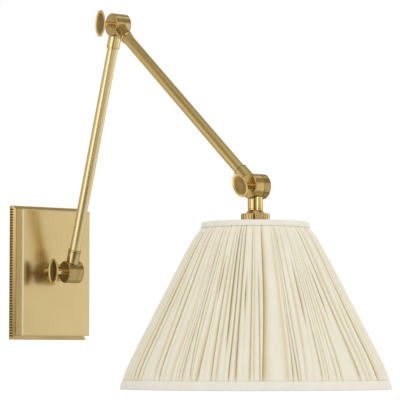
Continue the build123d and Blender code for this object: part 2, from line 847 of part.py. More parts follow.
# Ribs lie against the inner sides of both rings, spaced so that none meets a spoke
rib_length = hypot(bottom_ring_r - top_ring_r, top_ring_z - bottom_ring_z)
rib_out = (bottom_ring_r - top_ring_r) / rib_length
rib_down = (top_ring_z - bottom_ring_z) / rib_length
rib_inset = ring_wire_radius + weld_gap + rib_wire_radius
rib_top = (top_ring_r - rib_inset * rib_down, top_ring_z - rib_inset * rib_out)
rib_bottom = (bottom_ring_r - rib_inset * rib_down, bottom_ring_z - rib_inset * rib_out)
rib = slanted_rod(rib_wire_radius, rib_top, rib_bottom)
rib_count = spoke_count * ribs_per_spoke
rib_angle = spoke_angle + 180.0 / rib_count
ribs = [Rot(0, 0, rib_angle + 360.0 * i / rib_count) * rib for i in range(rib_count)]
save(shade_axis * Compound(ribs), "shade_ribs")

# Lining: a plain cone of cloth just inside the ribs
lining_set = (rib_inset + rib_wire_radius + wire_gap) / rib_down
lining_skin = lining_thickness / rib_down
slope = rib_out / rib_down
lining_top = top_ring_z - ring_wire_radius
lining_bottom = bottom_ring_z
lining_top_r = top_ring_r + slope * (top_ring_z - lining_top) - lining_set
lining_bottom_r = bottom_ring_r - lining_set
lining = turned(
    [
        (lining_top_r, lining_top),
        (lining_bottom_r, lining_bottom),
        (lining_bottom_r - lining_skin, lining_bottom),
        (lining_top_r - lining_skin, lining_top),
    ]
)
save(shade_axis * lining, "shade_lining")

print("shoulder", shoulder_y, shoulder_z)
print("elbow", elbow_y, elbow_z)
print("tilt", tilt_y, tilt_z)
print("shade", shade_top, shade_bottom)
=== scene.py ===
import math
import random

import bpy
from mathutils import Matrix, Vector


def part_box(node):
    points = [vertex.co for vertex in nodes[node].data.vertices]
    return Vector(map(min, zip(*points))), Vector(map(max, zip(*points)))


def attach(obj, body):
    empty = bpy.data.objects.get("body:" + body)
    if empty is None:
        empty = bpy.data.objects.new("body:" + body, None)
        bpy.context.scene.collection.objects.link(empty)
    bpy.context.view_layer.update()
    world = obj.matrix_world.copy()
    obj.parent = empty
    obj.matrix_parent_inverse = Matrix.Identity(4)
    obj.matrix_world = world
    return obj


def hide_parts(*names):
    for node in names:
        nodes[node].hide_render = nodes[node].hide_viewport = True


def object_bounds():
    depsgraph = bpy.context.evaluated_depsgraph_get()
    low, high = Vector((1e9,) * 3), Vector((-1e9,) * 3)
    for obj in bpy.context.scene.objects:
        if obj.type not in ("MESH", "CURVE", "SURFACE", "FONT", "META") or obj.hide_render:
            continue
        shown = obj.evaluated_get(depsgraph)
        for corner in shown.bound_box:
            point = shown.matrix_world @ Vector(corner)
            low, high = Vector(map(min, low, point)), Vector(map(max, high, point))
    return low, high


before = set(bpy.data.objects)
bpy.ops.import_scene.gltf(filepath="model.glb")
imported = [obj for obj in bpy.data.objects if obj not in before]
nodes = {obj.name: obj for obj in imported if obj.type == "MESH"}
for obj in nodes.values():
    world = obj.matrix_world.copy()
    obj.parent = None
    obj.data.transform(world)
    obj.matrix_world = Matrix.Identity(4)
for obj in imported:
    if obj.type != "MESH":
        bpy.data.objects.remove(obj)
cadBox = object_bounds()
print("frame loaded,", len(nodes), "nodes")

pureWhite = (1.0, 1.0, 1.0)  # as a tint it changes nothing


# small helpers for node trees

def startMaterial(name):
    mat = bpy.data.materials.new(name)
    mat.use_nodes = True
    tree = mat.node_tree
    return mat, tree, tree.nodes["Principled BSDF"]


def addNode(tree, kind, settings=None, sockets=None):
    node = tree.nodes.new(kind)
    for key, value in (settings or {}).items():
        setattr(node, key, value)
    for key, value in (sockets or {}).items():
        node.inputs[key].default_value = value
    return node


def feed(tree, socket, value):
    # a link from another node, or a fixed value
    if isinstance(value, bpy.types.NodeSocket):
        tree.links.new(value, socket)
    else:
        socket.default_value = value


def objectPoint(tree, scale=(1.0, 1.0, 1.0), turn=0.0):
    # object coordinates, stretched, and turned about X for the leaning arms
    coords = addNode(tree, "ShaderNodeTexCoord")
    turned = addNode(tree, "ShaderNodeMapping", None, {"Rotation": (turn, 0.0, 0.0)})
    tree.links.new(coords.outputs["Object"], turned.inputs["Vector"])
    sized = addNode(tree, "ShaderNodeMapping", None, {"Scale": scale})
    tree.links.new(turned.outputs["Vector"], sized.inputs["Vector"])
    return sized.outputs["Vector"]


def axisOf(tree, vector, axis):
    parts = addNode(tree, "ShaderNodeSeparateXYZ")
    tree.links.new(vector, parts.inputs[0])
    return parts.outputs[axis]


def noiseFrom(tree, point, scale, detail, rough=0.5):
    noise = addNode(tree, "ShaderNodeTexNoise", None,
                    {"Scale": scale, "Detail": detail, "Roughness": rough})
    tree.links.new(point, noise.inputs["Vector"])
    return noise.outputs["Fac"]


def rampFrom(tree, factor, stops):
    ramp = addNode(tree, "ShaderNodeValToRGB")
    elements = ramp.color_ramp.elements
    while len(elements) < len(stops):
        elements.new(0.5)
    for element, (place, colour) in zip(elements, stops):
        element.position = place
        element.color = (*colour, 1.0)
    tree.links.new(factor, ramp.inputs["Fac"])
    return ramp.outputs["Color"]


def twoTones(tree, factor, levels, first, second):
    return rampFrom(tree, factor, ((levels[0], first), (levels[1], second)))


def rangeFrom(tree, factor, low, high, fromLow=0.3, fromHigh=0.7):
    node = addNode(tree, "ShaderNodeMapRange", None,
                   {"From Min": fromLow, "From Max": fromHigh, "To Min": low, "To Max": high})
    tree.links.new(factor, node.inputs["Value"])
    return node.outputs["Result"]


def mixColour(tree, blend, factor, first, second):
    mix = addNode(tree, "ShaderNodeMix",
                  {"data_type": "RGBA", "blend_type": blend, "clamp_result": True})
    feed(tree, mix.inputs[0], factor)
    for socket, colour in ((mix.inputs[6], first), (mix.inputs[7], second)):
        feed(tree, socket, (*colour, 1.0) if isinstance(colour, tuple) else colour)
    return mix.outputs[2]


def mathFrom(tree, operation, first, second):
    node = addNode(tree, "ShaderNodeMath", {"operation": operation})
    feed(tree, node.inputs[0], first)
    feed(tree, node.inputs[1], second)
    return node.outputs["Value"]


def bumpFrom(tree, shader, height, strength, distance):
    bump = addNode(tree, "ShaderNodeBump", None, {"Strength": strength, "Distance": distance})
    tree.links.new(height, bump.inputs["Height"])
    tree.links.new(bump.outputs["Normal"], shader.inputs["Normal"])


# brass: brushed along one direction, a little patina, brighter on worn edges, and painted shade in
# its grooves

brass = {
    "pale": (0.575, 0.435, 0.192),
    "deep": (0.49, 0.36, 0.142),
    "worn": (0.70, 0.555, 0.29),
    "patinaScale": 16.0,
    "patina": (0.32, 0.68),         # noise levels of the deep and the pale tone
    "streak": (0.90, 0.90, 0.89),   # tint of the darkest brush lines
    "streakLevels": (0.30, 0.70),
    "streakShare": 0.6,
    "wearShare": 0.8,
    "wearPoint": (0.52, 0.60),      # pointiness where rubbing starts and where it is full
    "groove": (0.30, 0.25, 0.18),
    "grooveReach": 0.0022,
    "grooveOpen": (0.25, 0.80),     # openness where the painted shade in a groove is darkest and where it ends
    "hubEdge": (0.0134, 0.0140),    # from the pivot to where the barrel ends and the stem starts
    "roughLow": 0.26,
    "roughHigh": 0.38,
    "lineBump": 0.10,
    "lineDepth": 0.00006,
    "sideRough": 0.26,              # the sides of the cover are duller than its face, and painted paler as a painted reflection
    "sideReflectionTint": (1.0, 1.07, 1.28),
    "sideTurn": (-0.97, -0.80),     # Y of the normal, from the face to the sides
    "cloudScale": 30.0,
    "clouds": (0.40, 0.60),         # narrower than the usual patina, so that the face is clouded
    "leftShadeAcross": (-0.05, 0.04),    # painted reflection of the cloth shade: the face is a little darker towards its left edge
    "leftShadeTint": (0.93, 0.935, 0.90),
    "rim": (1.45, 1.40, 1.30),      # painted highlight on the rim of a paddle
    "rimTurn": (-0.85, -0.60),      # X of the normal, from the front of a paddle to its edge
    "dishDepth": (0.0003, 0.0010),  # painted shade: a paddle's bowl darkens between these depths under its rim
}


def brassFinish(name, brush, turn=0.0, tint=pureWhite, polish=0.0, hub=None, lineShare=1.0,
                dish=None, plate=False):
    # hub: (pivot, colour, polish) of the turned barrel round a joint, darker than its stem
    # dish: (X of the rim, colour) of a dished paddle, with painted shade in its bowl and a painted
    # highlight on its rim
    # plate: the cover, with a clouded face, painted shade darkening it towards the left, and duller
    # sides that a painted reflection makes paler
    mat, tree, shader = startMaterial(name)
    lines = noiseFrom(tree, objectPoint(tree, brush, turn), 1.0, 3.0, 0.6)
    spread = brass["cloudScale"] if plate else brass["patinaScale"]
    patina = noiseFrom(tree, objectPoint(tree), spread, 4.0, 0.55)
    deep, pale, worn = (tuple(c * t for c, t in zip(brass[key], tint))
                        for key in ("deep", "pale", "worn"))
    base = twoTones(tree, patina, brass["clouds" if plate else "patina"], deep, pale)
    streaks = twoTones(tree, lines, brass["streakLevels"], brass["streak"], pureWhite)
    brushed = mixColour(tree, "MULTIPLY", brass["streakShare"], base, streaks)
    edges = addNode(tree, "ShaderNodeNewGeometry")
    wear = rangeFrom(tree, edges.outputs["Pointiness"], 0.0, brass["wearShare"],
                     *brass["wearPoint"])
    rubbed = mixColour(tree, "MIX", wear, brushed, worn)
    # painted shade: ambient occlusion darkens the brass in grooves and recesses
    hollow = addNode(tree, "ShaderNodeAmbientOcclusion", {"samples": 6, "only_local": True},
                     {"Distance": brass["grooveReach"]})
    paintedGrooveShade = twoTones(tree, hollow.outputs["AO"], brass["grooveOpen"], brass["groove"], pureWhite)
    colour = mixColour(tree, "MULTIPLY", 1.0, rubbed, paintedGrooveShade)
    rough = rangeFrom(tree, lines, brass["roughLow"] - polish, brass["roughHigh"] - polish)
    if hub:
        pivot, hubTint, hubPolish = hub
        place = addNode(tree, "ShaderNodeVectorMath", {"operation": "DISTANCE"})
        tree.links.new(objectPoint(tree, (0.0, 1.0, 1.0)), place.inputs[0])
        place.inputs[1].default_value = (0.0, pivot.y, pivot.z)
        onStem = rangeFrom(tree, place.outputs["Value"], 0.0, 1.0, *brass["hubEdge"])
        hubTone = twoTones(tree, onStem, (0.0, 1.0), hubTint, pureWhite)
        colour = mixColour(tree, "MULTIPLY", 1.0, colour, hubTone)
        duller = rangeFrom(tree, onStem, polish - hubPolish, 0.0, 0.0, 1.0)
        rough = mathFrom(tree, "ADD", rough, duller)
    if plate:
        facing = axisOf(tree, edges.outputs["Normal"], "Y")
        aside = rangeFrom(tree, facing, 0.0, 1.0, *brass["sideTurn"])
        duller = rangeFrom(tree, aside, 0.0, brass["sideRough"], 0.0, 1.0)
        rough = mathFrom(tree, "ADD", rough, duller)
        # painted reflection: the face darkens towards its left edge
        across = axisOf(tree, objectPoint(tree), "X")
        paintedLeftShade = rangeFrom(tree, across, 1.0, 0.0, *brass["leftShadeAcross"])
        face = mixColour(tree, "MULTIPLY", paintedLeftShade, colour, brass["leftShadeTint"])
        # painted reflection: the sides are tinted paler and bluer than the face
        sides = mixColour(tree, "MULTIPLY", 1.0, colour, brass["sideReflectionTint"])
        colour = mixColour(tree, "MIX", aside, face, sides)
    if dish:
        rimX, bowl = dish
        # painted shade and reflection: the bowl under the rim is darkened
        depth = mathFrom(tree, "SUBTRACT", axisOf(tree, objectPoint(tree), "X"), rimX)
        under = rangeFrom(tree, depth, 0.0, 1.0, *brass["dishDepth"])
        # painted highlight: the rim of a paddle, where its face turns outwards, is lightened
        facing = axisOf(tree, edges.outputs["Normal"], "X")
        outward = rangeFrom(tree, facing, 1.0, 0.0, *brass["rimTurn"])
        paintedRimHighlight = mixColour(tree, "MULTIPLY", outward, colour, brass["rim"])
        tone = twoTones(tree, under, (0.0, 1.0), pureWhite, bowl)
        colour = mixColour(tree, "MULTIPLY", outward, paintedRimHighlight, tone)
    tree.links.new(colour, shader.inputs["Base Color"])
    tree.links.new(rough, shader.inputs["Roughness"])
    shader.inputs["Metallic"].default_value = 1.0
    bumpFrom(tree, shader, lines, brass["lineBump"] * lineShare, brass["lineDepth"])
    return mat


def pivotOf(joint):
    low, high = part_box(joint + "_washer")
    return (low + high) / 2


# plain finishes of the fittings: colour spots, roughness and a fine bump

fitting = {
    "spots": (0.32, 0.68),   # noise levels of the dark and the light spots
    "roughSpread": 0.15,
    "bump": 0.1,
    "bumpDepth": 0.00008,
}


def fittingFinish(name, dark, light, rough, metal, grain):
    mat, tree, shader = startMaterial(name)
    spots = noiseFrom(tree, objectPoint(tree), grain, 5.0, 0.6)
    tree.links.new(twoTones(tree, spots, fitting["spots"], dark, light),
                   shader.inputs["Base Color"])
    spread = rough * fitting["roughSpread"]
    tree.links.new(rangeFrom(tree, spots, rough - spread, rough + spread),
                   shader.inputs["Roughness"])
    shader.inputs["Metallic"].default_value = metal
    bumpFrom(tree, shader, spots, fitting["bump"], fitting["bumpDepth"])
    return mat


# cloth: plain weave from two crossed sets of threads, and soft slubs

cloth = {
    "thread": 0.00042,       # thread spacing
    "bandUnit": 0.31416,     # the band texture repeats every bandUnit / scale
    "weaveDepth": 0.00005,
    "weaveBump": 0.35,
    "weaveTint": (0.955, 0.95, 0.93),
    "weaveLevels": (0.0, 0.7),
    "weaveShare": 0.8,
    "slubScale": 55.0,
    "slubStretch": (1.0, 1.0, 0.18),
    "slubLevels": (0.35, 0.62),
    "rough": 0.88,
    "sheenRough": 0.5,
    "specular": 0.25,
    # painted shade: darker and warmer the deeper a point lies in a fold
    "foldShadeTints": ((0.06, pureWhite), (0.38, (0.92, 0.88, 0.765)), (0.90, (0.71, 0.63, 0.41))),
}


def clothFinish(name, pale, deep, sheen):
    mat, tree, shader = startMaterial(name)
    uv = addNode(tree, "ShaderNodeUVMap", {"uv_map": "cut"})
    bandScale = cloth["bandUnit"] / cloth["thread"] / 2.0
    waves = []
    for direction in ("X", "Y"):
        wave = addNode(tree, "ShaderNodeTexWave",
                       {"wave_type": "BANDS", "bands_direction": direction},
                       {"Scale": bandScale, "Distortion": 0.6, "Detail": 1.0, "Detail Scale": 2.0})
        tree.links.new(uv.outputs["UV"], wave.inputs["Vector"])
        waves.append(wave.outputs["Fac"])
    weave = mathFrom(tree, "MULTIPLY", waves[0], waves[1])
    slubs = noiseFrom(tree, objectPoint(tree, cloth["slubStretch"]), cloth["slubScale"], 4.0, 0.6)
    base = twoTones(tree, slubs, cloth["slubLevels"], deep, pale)
    shaded = twoTones(tree, weave, cloth["weaveLevels"], cloth["weaveTint"], pureWhite)
    colour = mixColour(tree, "MULTIPLY", cloth["weaveShare"], base, shaded)
    # painted shade in the creases, by the depth of each point in its fold
    depth = addNode(tree, "ShaderNodeAttribute", {"attribute_name": "foldDepth"})
    fold = rampFrom(tree, depth.outputs["Fac"], cloth["foldShadeTints"])
    tree.links.new(mixColour(tree, "MULTIPLY", 1.0, colour, fold), shader.inputs["Base Color"])
    shader.inputs["Roughness"].default_value = cloth["rough"]
    shader.inputs["Sheen Weight"].default_value = sheen
    shader.inputs["Sheen Roughness"].default_value = cloth["sheenRough"]
    shader.inputs["Specular IOR Level"].default_value = cloth["specular"]
    bumpFrom(tree, shader, weave, cloth["weaveBump"], cloth["weaveDepth"])
    return mat


# bulb glass, frosted

glass = {
    "frostScale": 900.0,
    "frostLevels": (0.3, 0.7),
    "dark": (0.88, 0.88, 0.86),
    "light": (0.94, 0.94, 0.92),
    "rough": (0.38, 0.52),
    "clear": 0.35,
    "ior": 1.45,
    "bump": 0.05,
    "bumpDepth": 0.00004,
}


def glassFinish(name):
    mat, tree, shader = startMaterial(name)
    frost = noiseFrom(tree, objectPoint(tree), glass["frostScale"], 3.0, 0.6)
    tree.links.new(twoTones(tree, frost, glass["frostLevels"], glass["dark"], glass["light"]),
                   shader.inputs["Base Color"])
    tree.links.new(rangeFrom(tree, frost, *glass["rough"]), shader.inputs["Roughness"])
    shader.inputs["Transmission Weight"].default_value = glass["clear"]
    shader.inputs["IOR"].default_value = glass["ior"]
    bumpFrom(tree, shader, frost, glass["bump"], glass["bumpDepth"])
    return mat


# how far each arm leans, so that its brush lines run along it
armTurns = {"lower": math.radians(19.6), "upper": math.radians(127.5)}

# noise scale of the brush lines along X, Y and Z: the lines run where it is small
brushes = {
    "plate": (900.0, 900.0, 14.0),
    "collar": (16.0, 1500.0, 16.0),
    "hub": (520.0, 9.0, 9.0),
    "tube": (260.0, 260.0, 8.0),
    "ring": (30.0, 30.0, 1200.0),
    "paddle": (400.0, 400.0, 40.0),
}

# painted shade and reflection in the bowl of each paddle
bowlShades = {
    "shoulder": (0.20, 0.18, 0.13),
    "elbow": (0.31, 0.29, 0.24),
    "tilt": (0.36, 0.33, 0.25),
}

# these are lit and shaded copies of one brass: each part's tint, and the tint of its barrel round a
# joint, paints in the shade and reflections it shows
finishes = {
    "border": brassFinish("satinBrassBorder", brushes["plate"], tint=(0.95, 0.93, 0.90),
                          polish=-0.06, lineShare=0.3),
    "plate": brassFinish("satinBrassPlate", brushes["plate"], tint=(0.97, 0.95, 0.92),
                         polish=0.11, lineShare=0.3, plate=True),
    "collar": brassFinish("satinBrassCollar", brushes["collar"], tint=(0.85, 0.82, 0.75)),
    "shoulder": brassFinish("satinBrassShoulder", brushes["hub"], tint=(0.73, 0.70, 0.63),
                            polish=0.15, lineShare=0.4,
                            hub=(pivotOf("shoulder"), (0.82, 0.76, 0.63), 0.10)),
    "elbow": brassFinish("satinBrassElbow", brushes["hub"], tint=(1.0, 0.99, 0.97),
                         polish=0.10, lineShare=0.4,
                         hub=(pivotOf("elbow"), (0.81, 0.77, 0.68), 0.06)),
    "tilt": brassFinish("satinBrassTilt", brushes["hub"], tint=(1.0, 0.98, 0.93),
                        polish=0.08, lineShare=0.4,
                        hub=(pivotOf("tilt"), (0.83, 0.76, 0.58), 0.06)),
    "neck": brassFinish("brightBrassNeck", brushes["hub"], tint=(0.88, 0.80, 0.64),
                        polish=0.16, lineShare=0.4,
                        hub=(pivotOf("tilt"), (0.72, 0.67, 0.58), 0.0)),
    "lowerTube": brassFinish("satinBrassLowerTube", brushes["tube"], -armTurns["lower"],
                             tint=(0.94, 0.965, 0.975), polish=0.02, lineShare=0.2),
    "upperTube": brassFinish("satinBrassUpperTube", brushes["tube"], -armTurns["upper"],
                             tint=(0.91, 0.87, 0.72), lineShare=0.4),
    "bright": brassFinish("brightBrass", brushes["ring"], tint=(0.77, 0.70, 0.60), polish=0.14),
    # fittings: dark and light spots, roughness, metal, grain
    "zinc": fittingFinish("zincSteel", (0.42, 0.43, 0.44), (0.60, 0.61, 0.61), 0.36, 1.0, 120.0),
    "green": fittingFinish("greenScrew", (0.02, 0.16, 0.05), (0.04, 0.26, 0.09), 0.38, 0.6, 200.0),
    "nickel": fittingFinish("nickelShell", (0.60, 0.57, 0.52), (0.74, 0.71, 0.66),
                            0.24, 1.0, 90.0),
    "seam": fittingFinish("seamFibre", (0.36, 0.26, 0.11), (0.44, 0.33, 0.15), 0.5, 0.7, 260.0),
    "fibre": fittingFinish("fibreBoard", (0.07, 0.055, 0.045), (0.12, 0.10, 0.085),
                           0.75, 0.0, 300.0),
    "moulding": fittingFinish("mouldedBlock", (0.74, 0.73, 0.69), (0.82, 0.81, 0.78),
                              0.45, 0.0, 160.0),
    "lead": fittingFinish("leadCover", (0.82, 0.78, 0.68), (0.90, 0.87, 0.80), 0.55, 0.0, 240.0),
    "whiteWire": fittingFinish("whiteWire", (0.76, 0.75, 0.72), (0.86, 0.85, 0.83),
                               0.42, 0.0, 180.0),
    "glass": glassFinish("frostedGlass"),
    # cloths: pale and deep tone, sheen
    "cloth": clothFinish("gatheredCloth", (0.835, 0.793, 0.662), (0.80, 0.753, 0.614), 0.15),
    "tape": clothFinish("edgeTape", (0.835, 0.80, 0.71), (0.81, 0.77, 0.67), 0.12),
    "lining": clothFinish("liningCloth", (0.90, 0.88, 0.82), (0.87, 0.845, 0.775), 0.08),
}
for joint, bowl in bowlShades.items():
    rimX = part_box(joint + "_paddle")[0].x
    finishes[joint + "Paddle"] = brassFinish(joint + "PaddleBrass", brushes["paddle"],
                                             tint=(1.02, 1.0, 0.96), polish=0.06, lineShare=0.3,
                                             dish=(rimX, bowl))
print("finishes made,", len(finishes))


# each carried-over node with its finish

dressed = {
    "border": ("wall_frame",),
    "plate": ("wall_cover",),
    "collar": ("post_collar",),
    "shoulder": ("post_knuckle", "lower_foot_knuckle"),
    "elbow": ("lower_head_knuckle", "upper_foot_knuckle"),
    "tilt": ("upper_head_knuckle",),
    "neck": ("neck_knuckle",),
    "shoulderPaddle": ("shoulder_paddle", "shoulder_screw"),
    "elbowPaddle": ("elbow_paddle", "elbow_screw"),
    "tiltPaddle": ("tilt_paddle", "tilt_screw"),
    "lowerTube": ("lower_tube",),
    "upperTube": ("upper_tube",),
    "bright": ("neck_ring", "shade_ring_nut", "socket_cap"),
    "zinc": ("cover_screws", "mounting_bar", "side_screws", "post_nipple", "post_washer",
             "post_nut", "neck_nipple", "spider_nut", "terminal_screws"),
    "green": ("ground_screw",),
    "nickel": ("socket_shell", "socket_screw_shell", "socket_contact", "bulb_contact",
               "bulb_cap"),
    "seam": ("shoulder_washer", "elbow_washer", "tilt_washer"),
    "fibre": ("socket_sleeve",),
    "moulding": ("terminal_block", "socket_core"),
    "lead": ("post_leads", "lower_leads", "upper_leads", "neck_leads"),
    "whiteWire": ("shade_spider", "shade_bottom_ring", "shade_ribs"),
    "glass": ("bulb_glass",),
    "cloth": ("shade_cloth",),
    "tape": ("shade_top_band", "shade_bottom_band"),
    "lining": ("shade_lining",),
}
for finish, members in dressed.items():
    for member in members:
        mesh = nodes[member].data
        mesh.materials.clear()
        mesh.materials.append(finishes[finish])
print("nodes dressed,", sum(len(m) for m in dressed.values()))


# shade: where the bands are gives the axis and the levels

topLow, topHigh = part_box("shade_top_band")
bottomLow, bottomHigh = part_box("shade_bottom_band")
axisX = (topLow.x + topHigh.x) / 2
axisY = (topLow.y + topHigh.y) / 2
shadeTop, shadeBottom = topHigh.z, bottomLow.z
topTapeRadius = (topHigh.x - topLow.x) / 2
bottomTapeRadius = (bottomHigh.x - bottomLow.x) / 2

tape = {
    "seed": 3,
    "columns": 420,
    "thick": 0.0010,
    "crown": 0.0004,
    "topFlare": 0.0009,      # each tape leans out by this towards its lower edge
    "bottomFlare": 0.0026,
    "turnIn": 0.0072,        # the top tape reaches this far in over the wire ring
    "pucker": 0.00004,
    "waves": 7,
    "waveCounts": (30, 95),  # puckers round the rim
    "waveHeights": (0.3, 1.0),
}


def smoothStep(value, start, end):
    t = min(1.0, max(0.0, (value - start) / (end - start)))
    return t * t * (3 - 2 * t)


def between(first, second, share):
    return first + (second - first) * share


def onRing(radius, angle, z):
    return axisX + radius * math.cos(angle), axisY + radius * math.sin(angle), z


def ringMesh(name, rows, columns, pointAt, closedRows=False):
    # grid that closes round the axis; pointAt(row, column) gives (x, y, z, depth, u, v)
    verts, depths, cuts = [], [], []
    for row in range(rows):
        for column in range(columns):
            x, y, z, depth, u, v = pointAt(row, column)
            verts.append((x, y, z))
            depths.append(depth)
            cuts.append((u, v))
    faces = []
    lastRow = rows if closedRows else rows - 1
    for row in range(lastRow):
        below = (row + 1) % rows
        for column in range(columns):
            beside = (column + 1) % columns
            faces.append((row * columns + column, below * columns + column,
                          below * columns + beside, row * columns + beside))
    mesh = bpy.data.meshes.new(name)
    mesh.from_pydata(verts, [], faces)
    attribute = mesh.attributes.new("foldDepth", "FLOAT", "POINT")
    attribute.data.foreach_set("value", depths)
    layer = mesh.uv_layers.new(name="cut")
    wrapU = max(c[0] for c in cuts) + (cuts[1][0] - cuts[0][0])
    for polygon in mesh.polygons:
        corners = [cuts[mesh.loops[i].vertex_index] for i in polygon.loop_indices]
        high = max(c[0] for c in corners)
        for i, (u, v) in zip(polygon.loop_indices, corners):
            if high - u > wrapU / 2:  # the last column meets the first
                u += wrapU
            layer.data[i].uv = (u, v)
    mesh.shade_smooth()
    piece = bpy.data.objects.new(name, mesh)
    bpy.context.scene.collection.objects.link(piece)
    return piece


def thicken(piece, thick):
    shell = piece.modifiers.new("clothThickness", "SOLIDIFY")
    shell.thickness = thick
    shell.offset = -1.0


gathers = {
    "seed": 33,
    "folds": 112,
    "uneven": 0.60,      # spread of the fold widths
    "regather": 0.55,    # how far the top gathers differ from the bottom ones
    "group": 7,          # folds that share one stitched span
    "narrowest": 0.1,    # least width of a fold, as a share of the mean width
    "bend": 0.30,        # sideways wander of a fold, as a share of the mean width
    "bendWaves": (0.4, 1.1),
    "topPuff": 0.0038,   # how far the cloth stands out below the top tape
    "bottomPuff": 0.0032,
    "topRise": 0.045,
    "bottomRise": 0.060,
    "topDepth": 0.0022,
    "midDepth": 0.0029,
    "bottomDepth": 0.0026,
    "depthSpread": (0.55, 1.35),
    "peakSpread": (0.62, 1.6),     # 1 puts the crest of a fold in its middle
    "steep": 0.58,       # no fold is deeper than this share of its width
    "pressed": 0.42,     # depth left where a tape holds the folds
    "topHeld": (-0.01, 0.06),      # the tapes let go of the folds over these spans
    "bottomHeld": (0.955, 1.01),
    "roundness": 0.66,   # below 1 the valleys are sharp and the crests full
    "shear": 0.90,       # folds lie over to one side
    "fading": 0.34,      # share of the folds that run out before a rim
    "fadingEnd": 0.6,    # chance of each end of such a fold to stop short of its rim
    "fadeIn": (0.05, 0.45),
    "fadeOut": (0.55, 0.9),
    "fadeSpan": 0.2,
    "fadeRest": 0.22,    # depth left of a fold that has run out
    "beyond": 0.3,       # other folds go on this far past both rims
    "flush": 0.0004,     # the cloth leaves each tape this far under its face
    "behind": 0.0003,    # room between the cloth and the tape that covers it
    "rows": 48,
    "rowBunch": 0.08,    # rows lie closer at both tapes
    # points across a fold, closer at its valleys
    "steps": (0.0, 0.018, 0.045, 0.09, 0.15, 0.23, 0.33, 0.44,
              0.56, 0.67, 0.77, 0.85, 0.91, 0.955, 0.982),
    "thick": 0.0005,
    "flat": (1.15, 0.182),
    "tapeLap": 0.0018,
}


def gatherAngles(draw):
    # valley angles at the bottom and the top; groups of folds keep their place
    count = gathers["folds"]
    low = [math.exp(gathers["uneven"] * draw.gauss(0, 1)) for _ in range(count)]
    high = [w ** 0.5 * math.exp(gathers["regather"] * draw.gauss(0, 1)) for w in low]
    for first in range(0, count, gathers["group"]):
        span = slice(first, first + gathers["group"])
        share = sum(low[span]) / sum(high[span])
        high[span] = [w * share for w in high[span]]
    total = sum(low)
    angles, atLow, atHigh = [], 0.0, 0.0
    for wLow, wHigh in zip(low, high):
        angles.append((2 * math.pi * atLow / total, 2 * math.pi * atHigh / total))
        atLow += wLow
        atHigh += wHigh
    return angles


def drawValleys(draw):
    valleys = []
    for lowAngle, highAngle in gatherAngles(draw):
        runsOut = draw.random() < gathers["fading"]
        valley = {
            "low": lowAngle,
            "high": highAngle,
            "depth": draw.uniform(*gathers["depthSpread"]),
            "peak": draw.uniform(*gathers["peakSpread"]),
            "shear": gathers["shear"] * draw.uniform(-1, 1),
            "bend": gathers["bend"] * draw.uniform(-1, 1),
            "waves": draw.uniform(*gathers["bendWaves"]),
            "phase": draw.uniform(0, 2 * math.pi),
            "start": -gathers["beyond"],
            "end": 1 + gathers["beyond"],
        }
        for key, fade in (("start", "fadeIn"), ("end", "fadeOut")):
            if runsOut and draw.random() < gathers["fadingEnd"]:
                valley[key] = draw.uniform(*gathers[fade])
        valleys.append(valley)
    return valleys


